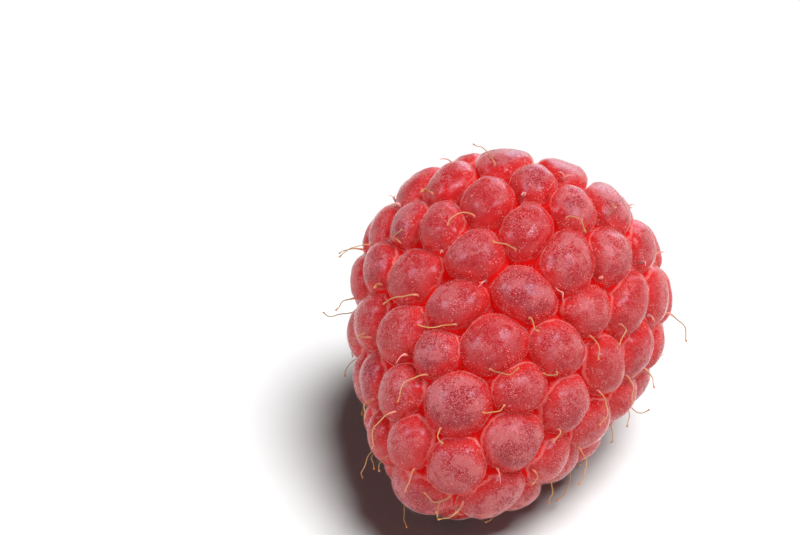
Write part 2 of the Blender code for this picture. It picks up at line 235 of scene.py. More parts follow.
def on_skin(ball):
    """Places on the skin, and the outward normals there."""
    length = along(ball)
    flat = np.maximum(np.hypot(ball[..., 0], ball[..., 1]), TINY)
    east, north = ball[..., 0] / flat, ball[..., 1] / flat
    r, h, nr, nh = (
        np.interp(length, section_length, values)
        for values in (section_radius, section_height, normal_r, normal_h)
    )
    return np.stack([r * east, r * north, h], -1), np.stack([nr * east, nr * north, nh], -1)


print("The rim lies on the ball's equator:", np.round(to_ball(0.0, rim_length), 3))

# %% [markdown]
# ## Seeds for the drupelets
#
# A plant sets each new part a golden angle past the last one, which packs them without rows lining up.
# Random places would crowd in one spot and leave gaps in another, so the seeds follow that spiral, and
# each goes on as far as its neighbours leave room. A little wander, then several rounds of moving each
# seed towards the middle of its own cell, make them as uneven and as evenly filled as a grown fruit.

# %% The spiral of seeds
GOLDEN_ANGLE = math.pi * (3 - math.sqrt(5))
START_ANGLE = 2.87
SEED = 697
WANDER = 0.09
ENDS_LEFT_FREE = 0.2
LEAST_TURNING_RADIUS = 1.5
random = np.random.default_rng(SEED)


def spiral_seeds():
    """Seed n stands at n golden angles, where the section's room holds n and a half cells."""
    ring = 2 * math.pi * np.interp(middle_length, section_length, section_radius) * section_steps
    room = math.sqrt(3) / 2 * spacing(middle_length) ** 2 * stretch(middle_length)
    filled = np.concatenate([[0], np.cumsum(ring / room)])
    count = round(filled[-1])
    number = np.arange(count)
    length = np.interp((number + 0.5) / count * filled[-1], filled, section_length)
    angle = START_ANGLE + GOLDEN_ANGLE * number
    aside, onward = random.uniform(-1, 1, (2, count)) * WANDER * spacing(length)
    length = np.clip(length + onward, ENDS_LEFT_FREE, section_length[-1] - ENDS_LEFT_FREE)
    radius = np.interp(length, section_length, section_radius)
    angle += aside / np.maximum(radius, LEAST_TURNING_RADIUS)
    return to_ball(angle, length)


seeds = spiral_seeds()
print(f"The spiral sets {len(seeds)} seeds")

# %% Who is whose neighbour
NEIGHBOURS = 24
POLE_GUARD = 1e-4
FLATNESS = 1e-11


def neighbour_triples(raised):
    """Every three neighbouring seeds: the plane through them has all the other seeds behind it."""
    flat = np.maximum(np.hypot(*raised[:, :2].T), POLE_GUARD)
    apart = ((raised[:, None] - raised[None]) ** 2).sum(-1) / (flat[:, None] * flat)
    near = np.argsort(apart, axis=1)[:, 1 : NEIGHBOURS + 1]
    pairs = np.array(list(combinations(range(NEIGHBOURS), 2)))
    own = np.repeat(np.arange(len(raised)), len(pairs))
    triples = np.column_stack([own, near[:, pairs[:, 0]].ravel(), near[:, pairs[:, 1]].ravel()])
    triples = np.unique(np.sort(triples, axis=1), axis=0)
    a, b, c = (raised[triples[:, i]] for i in range(3))
    normal = unit(np.cross(b - a, c - a))
    normal *= np.sign((normal * a).sum(-1, keepdims=True))
    ahead = (raised @ normal.T - (normal * a).sum(-1)).max(axis=0)
    kept = ahead < FLATNESS
    return triples[kept], normal[kept]


print(f"Three neighbours meet at {len(neighbour_triples(seeds)[0])} places")

# %% Even the seeds out
EVENING_ROUNDS = 8
EVENING_SHARE = 0.6
SIZE_SPREAD = 0.045
LEAST_SEED_RADIUS = 0.3


def evened(seeds):
    """The seeds moved part of the way to the middles of their own cells."""
    triples, corners = neighbour_triples(seeds)
    middle = np.zeros_like(seeds)
    for i in range(3):
        np.add.at(middle, triples[:, i], corners)
    return unit(seeds * (1 - EVENING_SHARE) + unit(middle) * EVENING_SHARE)


for _ in range(EVENING_ROUNDS):
    seeds = evened(seeds)
seed_length = along(seeds)
seed_radius = np.maximum(np.interp(seed_length, section_length, section_radius), LEAST_SEED_RADIUS)
seed_width = spacing(seed_length) * np.hypot(*seeds[:, :2].T) / seed_radius
uneven = 1 + random.uniform(-1, 1, len(seeds)) * SIZE_SPREAD * seed_width**2
triples, corners = neighbour_triples(seeds * uneven[:, None])
print(f"{len(seeds)} seeds, {(seed_length < rim_length + RIM_REACH).sum()} of them for drupelets")

# %% [markdown]
# ## Cells and their borders
#
# Round each seed lies a cell: the places that are nearer to it than to its neighbours. A Voronoi texture
# draws such cells, but only as a picture, and here each one has to become a mesh. Three cells meet at
# each corner, and two share each edge. The points of an edge are made once and used by both cells, so
# that the finished skin has no gaps.

# %% The borders' points
EDGE_STEPS = 8
ODD_WAY = 0.3, 0.5, 0.8
border_sets, edges = [corners], {}


def edge_between(start, end):
    """Numbers of the points between two corners: straight mixes of the two, pushed out to the ball."""
    key = min(start, end), max(start, end)
    if key not in edges:
        t = np.arange(1, EDGE_STEPS)[:, None] / EDGE_STEPS
        border_sets.append(unit(corners[key[0]] * (1 - t) + corners[key[1]] * t))
        first = len(corners) + len(edges) * (EDGE_STEPS - 1)
        edges[key] = list(range(first, first + EDGE_STEPS - 1))
    return edges[key] if start < end else edges[key][::-1]


def border_ring(seed):
    """Numbers of a cell's border points, counter-clockwise seen from outside."""
    own = np.flatnonzero((triples == seed).any(axis=1))
    centre = seeds[seed]
    side = unit(np.cross(ODD_WAY, centre))
    off = corners[own]
    own = own[np.argsort(np.arctan2(off @ np.cross(centre, side), off @ side))]
    ring = []
    for start, end in zip(own, np.roll(own, -1)):
        ring += [start] + edge_between(start, end)
    return np.array(ring)


rings = [border_ring(seed) for seed in range(len(seeds))]
border = np.vstack(border_sets)
print(f"{len(corners)} corners, {len(edges)} shared edges, {len(border)} border points")

# %% [markdown]
# ## One drupelet
#
# A drupelet is a ball squeezed between its neighbours. Metaballs would melt into each other and lose the
# crease, so each drupelet is a dome over the skin: a quarter of an oval from the crown outwards, which
# ends on a soft floor so that a pit is left where three of them meet. The oval is fitted to the cell's
# own border, so a long cell gets a long dome. Near the border the height eases over to the crease that
# the neighbours share.

# %% The dome
HEIGHT_SPREAD = 0.08
FOOT_SOFTNESS = 0.06
FULLNESS = 2.25
FULLNESS_AT_RIM = 3.2
CREASE_EASE = 6
ROUND_SHARE = 0.88
ROUND_SHARE_AT_RIM = 0.12
ROUND_REACH = 5.0
USUAL_REACH = 1.75


class Dome:
    """One cell's dome: its crown, and an oval fitted to its border.

    The oval's spread is twice the mean product of the border's offsets, and a point's share of the way
    out is the root of offset times the spread's inverse times offset. On the border that isn't quite 1.
    A roundness of 1 keeps the true oval, and a roundness of 0 stretches it until it fills the cell.
    """

    def __init__(self, border):
        self.border = border
        corners_and_middles = border[:: EDGE_STEPS // 2]
        self.crown = unit(corners_and_middles.mean(axis=0))
        self.length = along(self.crown)
        self.outer = self.length < rim_length + RIM_REACH
        self.top = crest(self.length) * (1 + random.uniform(-HEIGHT_SPREAD, HEIGHT_SPREAD))
        self.depth = depth(self.length)
        spots = self.spots(corners_and_middles)
        self.spread = 2 * spots.T @ spots / len(spots)
        self.size = np.linalg.det(self.spread) ** 0.25
        spots = self.spots(border)
        self.oval = np.sqrt(((spots @ np.linalg.inv(self.spread)) * spots).sum(-1))
        at_rim = math.exp(-(((self.length - rim_length) / ROUND_REACH) ** 4))
        roundness = ROUND_SHARE + (ROUND_SHARE_AT_RIM - ROUND_SHARE) * at_rim
        filled = at_rim * (1 - in_hollow(self.length))
        self.fullness = FULLNESS + (FULLNESS_AT_RIM - FULLNESS) * filled
        self.reach = np.linalg.norm(spots, axis=-1)
        self.share = self.oval * roundness + 1 - roundness
        self.foot = self.height(self.share)

    def spots(self, ball):
        """Border points as flat offsets from the crown: their bearing on the ball, their real distance."""
        east = unit(np.cross([0, 0, 1], self.crown))
        north = np.cross(self.crown, east)
        place, _ = on_skin(np.vstack([self.crown, ball]))
        reach = np.linalg.norm(place[1:] - place[0], axis=-1)
        return unit(np.stack([ball @ east, ball @ north], -1)) * reach[:, None]

    def height(self, share, fullness=None, depth=None):
        """Crown height less depth times (1 - bow). With a fullness f, the bow is the f-th root of 1 less
        share to the power f, softly held above nought. A circle's fullness is 2. The dome has a fullness
        and a depth of its own, and others can be asked for."""
        fullness, depth = fullness or self.fullness, depth or self.depth
        rest = 1 - share**fullness
        bow = ((rest + np.sqrt(rest**2 + FOOT_SOFTNESS**2)) / 2) ** (1 / fullness)
        return self.top - depth * (1 - bow)

    def grid(self, crease, steps):
        """Ball places, heights and how far out, on rings from the crown and spokes to the border.

        The distance out is the sine of the ring's share of a right angle, which crowds the rings near
        the border where the dome is steep. The crease takes over with the sixth power of it. How far out
        is 1 at the border, and less by the way that is left to it, where USUAL_REACH counts as 1.
        """
        out = np.sin(np.arange(0, steps) / steps * math.pi / 2)[:, None]
        ball = unit(self.crown * (1 - out[..., None]) + self.border * out[..., None])
        height = self.height(out * self.share) + (crease - self.foot) * out**CREASE_EASE
        return ball, height, 1 - (1 - out * self.share) * self.reach / USUAL_REACH


domes = [Dome(border[ring]) for ring in rings]
print(f"The tallest crown stands {max(d.top for d in domes):.2f} mm over the skin")

# %% The creases that neighbours share
CREASE_FILL = 0.12
total, shared = np.zeros((2, len(border)))
for ring, dome in zip(rings, domes):
    total[ring] += dome.foot
    shared[ring] += 1
crease = total / shared + CREASE_FILL * (1 - in_hollow(along(border)))
print(f"Creases lie from {-crease.min():.2f} mm under the skin to {crease.max():.2f} mm over it")

# %% [markdown]
# ## How the fruit leans and lies
#
# No fruit is true to its axis: this one is a little wider one way and leans on the way to its tip. When
# it is put down it rolls until three drupelets touch the ground with its weight between them. It could be
# dropped with Blender's physics, but the plane under three balls can be worked out exactly. So that plane
# is found from the drupelets as balls, and those underneath are then pressed a little flat.

# %% The lean
WIDER = 1.02
NARROWER = 0.985
DROOP = 0.3
SIDEWAYS_LEAN = 0.9


def lopsided(points):
    """x times WIDER plus DROOP times the rise squared, y times NARROWER less the lean likewise."""
    x, y, h = points.T
    rise = h / TIP_HEIGHT
    return np.stack([x * WIDER + DROOP * rise**2, y * NARROWER - SIDEWAYS_LEAN * rise**2, h], -1)


print("The tip has moved by", np.round(lopsided(np.array([[0, 0, TIP_HEIGHT]]))[0, :2], 2), "mm")

# %% The drupelets as balls


def balls_in(domes):
    """The domes as balls that touch their crowns from inside: middles and sizes."""
    place, normal = on_skin(np.array([d.crown for d in domes]))
    sizes = np.array([d.size for d in domes])
    tops = np.array([d.top for d in domes])
    return place + normal * (tops - sizes)[:, None], sizes


ball_middles, ball_sizes = balls_in(domes)
print(f"The balls measure {2 * min(d.size for d in domes if d.outer):.1f} to "
      f"{2 * max(d.size for d in domes if d.outer):.1f} mm across")

# %% The resting place
TIP_DIP = math.radians(15)
ROLL = -0.14
PRESSED = 0.25
UNDERSIDE = 40
TOUCHING = 1e-9


def way_down(middles, sizes, centre):
    """Direction of the plane that the fruit rests on, and how far it lies along that direction.

    Each plane touches three balls a, b and c. With u and v the ways from a to b and to c, the plane leans
    from the square of the triangle, u x v, by the differences of the balls' sizes. It is kept if no ball
    reaches past it and the centre stands over the triangle of the three. Of those kept, the one nearest
    to the wanted direction is taken.
    """
    wanted = np.array(
        [math.cos(ROLL) * math.cos(TIP_DIP), math.sin(ROLL) * math.cos(TIP_DIP), math.sin(TIP_DIP)]
    )
    lowest = np.argsort(-(middles @ wanted + sizes))[:UNDERSIDE]
    threes = np.array(list(combinations(lowest, 3)))
    a, b, c = (middles[threes[:, i]] for i in range(3))
    size_a, size_b, size_c = (sizes[threes[:, i]] for i in range(3))
    u, v = b - a, c - a
    square = np.cross(u, v)
    tilt = (size_a - size_b)[:, None] * np.cross(v, square)
    tilt = tilt + (size_a - size_c)[:, None] * np.cross(square, u)
    tilt /= (square**2).sum(-1, keepdims=True)
    rest = np.sqrt(np.clip(1 - (tilt**2).sum(-1, keepdims=True), 0, 1))
    down = tilt + unit(square) * rest * np.sign((square * wanted).sum(-1, keepdims=True))
    level = (down * a).sum(-1) + size_a
    touches = (down @ middles.T + sizes).max(axis=1) < level + TOUCHING
    spots = [corner - centre for corner in (a, b, c)]
    turns = [(np.cross(p, q) * down).sum(-1) for p, q in zip(spots, spots[1:] + spots[:1])]
    held = (np.sign(turns) == np.sign(turns[0])).all(axis=0)
    good = np.flatnonzero(touches & held)
    best = good[np.argmax(down[good] @ wanted)]
    return down[best], level[best]


def laid_down(down):
    """Rows of the turn that points down at -Z and the tip towards -Y."""
    up = -down
    back = unit(np.array([0, 0, -1]) + up * up[2])
    return np.stack([np.cross(back, up), back, up])


print(f"The tip is wanted {math.degrees(TIP_DIP):.0f} degrees below level")

# %% [markdown]
# ## Points, and the small unevenness of real skin
#
# Real drupelets are never perfect rounds. Their skin is slightly lumpy where the juice swells it and has
# a small dimple by the style. Sculpting each by hand would take days. A sum of many sine waves in random
# directions gives lumps of a chosen size everywhere at once, and has no seam.

# %% Lumps
LUMP_SIZES = 2.4, 0.9
LUMP_HEIGHTS = 0.055, 0.020


def lumps(points, size, waves=40, seed=5):
    """Mean of sine waves of one wavelength, each with a random direction and start, times the root of
    half their number, so that more waves don't flatten it."""
    draw = np.random.default_rng(seed)
    ways = unit(draw.normal(size=(waves, 3))) * 2 * math.pi / size
    starts = draw.uniform(0, 2 * math.pi, waves)
    return np.sin(points @ ways.T + starts).mean(axis=1) * math.sqrt(2 * waves) / 2


print(f"Lumps of {LUMP_SIZES} mm rise {LUMP_HEIGHTS} mm")

# %% Triangles of one dome
DOME_RINGS = 15
BUMP_RINGS = 6


def dome_triangles(crown, ring, steps):
    """A fan round the crown's point, then two triangles for each square of the grid out to the border."""
    count = len(ring)
    rows = [crown + 1 + count * k + np.arange(count) for k in range(steps - 1)]
    rows = np.vstack([*rows, ring])
    after = np.roll(rows, -1, axis=1)
    fan = np.column_stack([np.full(count, crown), rows[0], after[0]])
    upper = np.stack([rows[:-1], rows[1:], after[1:]], -1).reshape(-1, 3)
    lower = np.stack([rows[:-1], after[1:], after[:-1]], -1).reshape(-1, 3)
    return np.vstack([fan, upper, lower])


print(f"The first dome has {len(dome_triangles(0, rings[0], DOME_RINGS))} triangles")

# %% Where a style stands
STYLE_PLACE = 0.72
DIMPLE_DEPTH = 0.09
DIMPLE_REACH = 0.33


def style_ball(dome, way=STYLE_PLACE):
    """A point part of the way from the crown to the border nearest the tip, and that border's number."""
    index = np.argmin(along(dome.border[:: EDGE_STEPS // 2])) * (EDGE_STEPS // 2)
    return unit(dome.crown * (1 - way) + dome.border[index] * way), index


print(f"A style stands {STYLE_PLACE:.0%} of the way from the crown to the border nearest the tip")

# %% Lay out all the points
RIPENESS_SEED = 7
HALF_RIPE = 0.5
ripeness_draw = np.random.default_rng(RIPENESS_SEED)
ball_sets, height_sets, far_sets, triangle_sets = [border], [crease], [np.ones(len(border))], []
ripe_sets, crown_sets = [np.full(len(border), HALF_RIPE)], [np.arange(len(border))]
count = len(border)
for ring, dome, ripe in zip(rings, domes, ripeness_draw.uniform(0, 1, len(domes))):
    steps = DOME_RINGS if dome.outer else BUMP_RINGS
    ball, height, far = dome.grid(crease[ring], steps)
    away = np.linalg.norm(on_skin(ball)[0] - on_skin(style_ball(dome)[0])[0], axis=-1)
    height = height - dome.outer * DIMPLE_DEPTH * np.exp(-((away / DIMPLE_REACH) ** 2))
    ball_sets += [dome.crown[None], ball[1:].reshape(-1, 3)]
    height_sets += [[dome.top], height[1:].ravel()]
    far_sets += [[0.0], far[1:].ravel()]
    ripe_sets.append(np.full(1 + height[1:].size, ripe))
    crown_sets.append(np.full(1 + height[1:].size, count))
    triangle_sets.append(dome_triangles(count, ring, steps))
    count += 1 + height[1:].size
print(f"{count} points in {len(domes)} domes")

# %% Raise the points from the skin
ball = np.vstack(ball_sets)
far = np.concatenate(far_sets)
ripeness = np.concatenate(ripe_sets)
triangles = np.vstack(triangle_sets)
place, normal = on_skin(ball)
points = place + normal * np.concatenate(height_sets)[:, None]
lump = sum(tall * lumps(points, size) for size, tall in zip(LUMP_SIZES, LUMP_HEIGHTS))
hollow = in_hollow(along(ball))
points = lopsided(points + normal * lump[:, None])
print(f"{len(points)} points and {len(triangles)} triangles of flesh")

# %% [markdown]
# ## Put the flesh down
#
# The fruit's weight has a centre, and the fruit lies still when that stands over the triangle of the
# three touching drupelets. The centre is summed over the wedges between each triangle of the mesh and the
# origin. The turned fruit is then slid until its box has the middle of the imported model's box, and what
# would go below the ground is pressed flat onto it. Turning the object instead would leave its place out
# of its mesh, and the patterns of its finish would slide.

# %% The weight's centre


def middle_of_mass(points, triangles):
    """Mean of the wedges' centres, (a + b + c) / 4, each weighed by its volume a x b . c / 6."""
    a, b, c = (points[triangles[:, i]] for i in range(3))
    wedge = (np.cross(a, b) * c).sum(-1)
    return ((a + b + c) * wedge[:, None]).sum(axis=0) / 4 / wedge.sum()


centre = middle_of_mass(points, triangles)
print("The weight's centre lies at", np.round(centre, 2), "mm")

# %% Turn, slide and press
down, level = way_down(lopsided(ball_middles), ball_sizes, centre)
turn, rise = laid_down(down), level - PRESSED
points = points @ turn.T
slide = (berry_low + berry_high - points.max(axis=0) - points.min(axis=0)) / 2
slide[2] = rise
points += slide
pressed = points[:, 2] < 0
points[pressed, 2] = 0
print("Fine box", np.round(points.min(axis=0), 2), np.round(points.max(axis=0), 2))
print("Packed box", np.round(berry_low, 2), np.round(berry_high, 2))

# %% [markdown]
# ## Which way the skin faces
#
# Hairs have to grow outwards, and the side of each drupelet that looks up gets painted light, a paler bloom
# and a brighter shoulder ring, so the mesh is asked which way it faces. Blender knows this too, but only
# once the mesh is made, and here it is wanted before that. The painted light is worked out for each
# drupelet from how much higher or lower its skin looks than its own crown does.

# %% Facing and area
ALMOST_NOTHING = 1e-12


def facing_and_area(points, triangles):
    """Each point's facing is the sum of the cross products of the triangles round it, made one long. Each
    triangle's area is half the length of its cross product."""
    a, b, c = (points[triangles[:, i]] for i in range(3))
    face = np.cross(b - a, c - a)
    total = np.zeros_like(points)
    for i in range(3):
        np.add.at(total, triangles[:, i], face)
    return unit(total + ALMOST_NOTHING), np.linalg.norm(face, axis=-1) / 2


facing, area = facing_and_area(points, triangles)
# How much more a point looks up than its crown: it drives the painted light from above in the finish.
upward = facing[:, 2] - facing[np.concatenate(crown_sets), 2]
print(f"The skin measures {area.sum():.0f} square mm")

# %% [markdown]
# ## From arrays to a mesh
#
# A mesh in Blender is a list of points and a list of faces. Adding them one at a time is slow, so
# foreach_set pours whole arrays in at once. Each piece can also carry a number for each of its points, and
# its material can read that number.

# %% A helper that makes a mesh of whole arrays


def triangle_object(name, points, triangles, material, **numbers):
    """An object at the origin whose mesh has these points and triangles, and a number for each point."""
    mesh = bpy.data.meshes.new(name)
    mesh.vertices.add(len(points))
    mesh.vertices.foreach_set("co", (points * MM).astype(np.float32).ravel())
    mesh.loops.add(triangles.size)
    mesh.loops.foreach_set("vertex_index", triangles.astype(np.int32).ravel())
    mesh.polygons.add(len(triangles))
    mesh.polygons.foreach_set("loop_start", np.arange(0, triangles.size, 3, dtype=np.int32))
    mesh.update(calc_edges=True)
    mesh.shade_smooth()
    for attribute, values in numbers.items():
        layer = mesh.attributes.new(attribute, "FLOAT", "POINT")
        layer.data.foreach_set("value", values.astype(np.float32))
    mesh.materials.append(material)
    made = bpy.data.objects.new(name, mesh)
    bpy.context.collection.objects.link(made)
    return made


print(f"Meshes are made in metres: 1 mm is {MM}")

# %% [markdown]
# ## The finish of ripe flesh
#
# A raspberry's red comes from inside. Light goes in, is coloured by the juice and comes out again a
# millimetre away, so the creases glow instead of going dark. A plain red paint would look like plastic.
# Subsurface scattering does this, with red going much farther than green or blue. The crowns are darkest.
# The flanks are painted a brighter red and the creases the clearest red: painted glow of the light that
# comes through, added to what the scattering gives.
#
# On top lies a dusty bloom, thickest on the crowns, which makes them duller and rougher, with less of it on
# the flanks. It also carries painted light from above: it is laid thicker and paler where the skin looks up
# and thinner where it looks down, and a painted pale sheen ring runs round each shoulder.
# An image could be painted for all this, but nodes that read the numbers on the points keep the bloom on
# its drupelet in every view, and stay sharp from close by.

# %% Short ways to join nodes
COLOUR_A, COLOUR_B, COLOUR_OUT = 6, 7, 2


class Finish:
    """A material's node tree, with short ways to add a node and to join it up."""

    def __init__(self, name):
        self.material = bpy.data.materials.new(name)
        self.material.use_nodes = True
        self.nodes = self.material.node_tree.nodes
        self.links = self.material.node_tree.links
        self.shader = self.nodes["Principled BSDF"]

    def join(self, value, socket):
        """A node's output is linked to the socket, and a plain value is set on it."""
        if isinstance(value, bpy.types.NodeSocket):
            self.links.new(value, socket)
        else:
            socket.default_value = value

    def add(self, kind, inputs=None, **settings):
        """A node of this kind, with its settings made and its inputs joined."""
        node = self.nodes.new("ShaderNode" + kind)
        for name, value in settings.items():
            setattr(node, name, value)
        for name, value in (inputs or {}).items():
            self.join(value, node.inputs[name])
        return node

    def number(self, name):
        """The number that a mesh carries for each of its points."""
        return self.add("Attribute", attribute_name=name).outputs["Fac"]

    def places(self):
        """The object's own coordinates, which are millimetres once they are multiplied by a thousand."""
        return self.add("TexCoord").outputs["Object"]

    def noise(self, size, detail=2.0):
        """Soft noise with blotches of about this size in millimetres."""
        node = self.add("TexNoise", {"Vector": self.places(), "Scale": 1000 / size, "Detail": detail})
        return node.outputs["Fac"]

    def dots(self, size, share):
        """Round dots, one in each cell of this size in millimetres: 1 in its middle, 0 past the share."""
        cells = self.add("TexVoronoi", {"Vector": self.places(), "Scale": 1000 / size})
        return self.ramp(cells.outputs["Distance"], share, share * 0.4)

    def ramp(self, value, low, high, bottom=0.0, top=1.0):
        """A soft step of the value, from bottom at low to top at high."""
        inputs = {"Value": value, "From Min": low, "From Max": high, "To Min": bottom, "To Max": top}
        node = self.add("MapRange", inputs, interpolation_type="SMOOTHSTEP")
        return node.outputs["Result"]

    def sum_of(self, first, second, operation="ADD"):
        """The two numbers added, or joined by another operation."""
        node = self.add("Math", operation=operation)
        self.join(first, node.inputs[0])
        self.join(second, node.inputs[1])
        return node.outputs[0]

    def times(self, first, second):
        """The two numbers multiplied."""
        return self.sum_of(first, second, "MULTIPLY")

    def mix(self, share, first, second):
        """A colour, first where the share is 0 and second where it is 1."""
        node = self.add("Mix", data_type="RGBA")
        self.join(share, node.inputs["Factor"])
        self.join(first, node.inputs[COLOUR_A])
        self.join(second, node.inputs[COLOUR_B])
        return node.outputs[COLOUR_OUT]

    def thick(self, weight, reaches, scale):
        """The share of the light that goes in, how far each colour goes, and that distance's scale."""
        self.shader.inputs["Subsurface Weight"].default_value = weight
        self.shader.inputs["Subsurface Radius"].default_value = reaches
        self.shader.inputs["Subsurface Scale"].default_value = scale

    def rough(self, relief, strength, distance):
        """Fine relief that is only shaded, of this height in metres."""
        bump = self.add("Bump", {"Height": relief, "Strength": strength, "Distance": distance})
        self.join(bump.outputs["Normal"], self.shader.inputs["Normal"])


print(f"A colour mix takes its colours at inputs {COLOUR_A} and {COLOUR_B}")

# %% Colours of the flesh
# The crease and flank reds are painted glow of light coming through the flesh; the shoulder pink is a
# painted sheen.
CREASE_PAINTED_GLOW = 0.76, 0.010, 0.008, 1
FLANK_PAINTED_GLOW = 0.50, 0.010, 0.009, 1
FRESH_RED = 0.36, 0.008, 0.010, 1
DARK_RED = 0.26, 0.007, 0.015, 1
DUSTY_ROSE = 0.46, 0.124, 0.122, 1
SHOULDER_PAINTED_SHEEN = 0.74, 0.17, 0.15, 1
HOLLOW_RED = 0.75, 0.010, 0.008, 1
SEAM_PINK = 0.82, 0.07, 0.05, 1
PALE_DOT = 0.72, 0.27, 0.25, 1
print("The red goes from", CREASE_PAINTED_GLOW[:3], "in a crease to", DUSTY_ROSE[:3], "under full bloom")

# %% Where the bloom lies


def dust_and_painted_light(finish, far, ripeness):
    """Blotches, a coarse grain and a fine grain added up, then thinned by drupelet, region and flank, and
    by
    which way the skin looks: painted light from above, thicker and paler where the skin looks up.
    """
    patchy = finish.ramp(finish.noise(1.0), 0.42, 0.60, 0.0, 0.50)
    coarse = finish.ramp(finish.noise(0.25, 1.0), 0.40, 0.60, 0.0, 0.15)
    grain = finish.ramp(finish.noise(0.085, 1.5), 0.47, 0.57, 0.0, 0.60)
    by_drupelet = finish.ramp(ripeness, 0.0, 1.0, 0.6, 1.0)
    by_region = finish.ramp(finish.noise(7.0, 1.0), 0.35, 0.65, 0.7, 1.1)
    by_flank = finish.ramp(far, 0.92, 0.50, 0.15, 1.15)
    # Painted light from above: more bloom, so paler, where the skin looks up, less where it looks down.
    painted_light_by_facing = finish.ramp(finish.number("upward"), -0.60, 0.10, 0.35, 1.08)
    dust_and_light = finish.sum_of(finish.sum_of(patchy, coarse), grain)
    for share in (by_drupelet, by_region, by_flank, painted_light_by_facing):
        dust_and_light = finish.times(dust_and_light, share)
    return dust_and_light


def painted_sheen_ring(finish, far):
    """A painted sheen ring just short of the border, for the pale outline the down gives at a slant: up
    from
    0.865 of the way to 0.905, down again from 0.915, and stronger where the skin looks up.
    """
    ring = finish.times(finish.ramp(far, 0.865, 0.905), finish.ramp(far, 0.955, 0.915))
    return finish.times(ring, finish.ramp(finish.number("upward"), -0.50, 0.0, 0.20, 0.85))


def hollow_red(finish, far):
    """The hollow's red, with a pale seam where two scars meet."""
    uneven = finish.sum_of(far, finish.ramp(finish.noise(0.8), 0.3, 0.7, -0.04, 0.04))
    return finish.mix(finish.ramp(uneven, 0.88, 1.0), HOLLOW_RED, SEAM_PINK)


# Which way the skin looks gives painted light from above, not real bloom.
print("Bloom is laid by noise, by drupelet, by flank and by which way the skin looks")

# %% The flesh, coat upon coat
SPECK_SHARE = 0.8
RED_GOES_FARTHEST = 1.0, 0.045, 0.035
FLESH_DEPTH = 2.8 * MM
SKIN_RELIEF = 0.04 * MM


def flesh_colour(finish, bloom_and_painted_light, far, top, ripeness):
    """Red by ripeness, painted glow on the flanks and in the creases, bloom with painted light from above,
    the painted sheen ring and dots, then the hollow, each coat over the last.
    """
    inside = finish.number("hollow")
    outside = finish.sum_of(1.0, inside, "SUBTRACT")
    red = finish.mix(finish.ramp(ripeness, 0.3, 0.9), FRESH_RED, DARK_RED)
    # Flanks painted a brighter red: painted glow of light coming through the flesh.
    red = finish.mix(finish.ramp(far, 0.86, 0.45), FLANK_PAINTED_GLOW, red)
    # Creases painted the clearest red: painted glow of light coming through the flesh.
    red = finish.mix(top, CREASE_PAINTED_GLOW, red)
    red = finish.mix(bloom_and_painted_light, red, DUSTY_ROSE)
    # A painted pale sheen ring on each shoulder, stronger on the side that looks up.
    red = finish.mix(finish.times(painted_sheen_ring(finish, far), outside), red, SHOULDER_PAINTED_SHEEN)
    specks = finish.times(finish.dots(0.16, 0.36), finish.ramp(finish.noise(0.6), 0.47, 0.62))
    red = finish.mix(finish.times(finish.times(specks, top), SPECK_SHARE), red, PALE_DOT)
    red = finish.mix(inside, red, hollow_red(finish, far))
    return finish.mix(finish.times(finish.dots(1.1, 0.10), inside), red, PALE_DOT)


def ripe_flesh():
    """The finish of the whole fruit. Its border wavers a little, so that no line on it is ruled."""
    finish = Finish("ripe_flesh_finish")
    shader = finish.shader
    far = finish.sum_of(finish.number("far"), finish.ramp(finish.noise(0.5), 0.2, 0.8, -0.03, 0.03))
    ripeness = finish.number("ripeness")
    # top is 0 in the creases, where the painted glow red goes.
    top = finish.ramp(far, 0.98, 0.90)
    outside = finish.sum_of(1.0, finish.number("hollow"), "SUBTRACT")
    # The bloom share, with painted light from above in it.
    bloom_and_painted_light = finish.times(finish.times(top, dust_and_painted_light(finish, far, ripeness)), outside)
    finish.join(flesh_colour(finish, bloom_and_painted_light, far, top, ripeness), shader.inputs["Base Color"])
    finish.join(finish.ramp(bloom_and_painted_light, 0.0, 0.9, 0.22, 0.34), shader.inputs["Roughness"])
    shader.inputs["IOR"].default_value = 1.42
    shader.inputs["Specular IOR Level"].default_value = 0.32
    shader.inputs["Sheen Weight"].default_value = 1.0
    shader.inputs["Sheen Roughness"].default_value = 0.15
    shader.inputs["Sheen Tint"].default_value = 1.0, 0.80, 0.78, 1
    finish.thick(0.9, RED_GOES_FARTHEST, FLESH_DEPTH)
    relief = finish.sum_of(finish.noise(0.12, 3.0), finish.times(finish.dots(0.27, 0.34), 0.5))
    finish.rough(relief, 0.35, SKIN_RELIEF)
    return finish.material


flesh_finish = ripe_flesh()
print(f"The flesh has {len(flesh_finish.node_tree.nodes)} nodes")

# %% Put the flesh in place
flesh = triangle_object(
    "ripe_flesh", points, triangles, flesh_finish,
    far=far, hollow=hollow, ripeness=ripeness, upward=upward,
)
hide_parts("berry")
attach(flesh, "root")
print(f"{flesh.name} stands for the packed berry")

# %% [markdown]
# ## The down
#
# Every drupelet is downy. One hair is a third of a millimetre long and thinner than anyone can see, but
# together they make the pale outline round each drupelet and the soft dusty look. Blender's hair curves
# would be quicker, but they aren't a mesh and don't travel with the model. So each hair is the simplest
# closed shape there is: a long thin spike on a three-sided foot, and they are made in whole arrays.

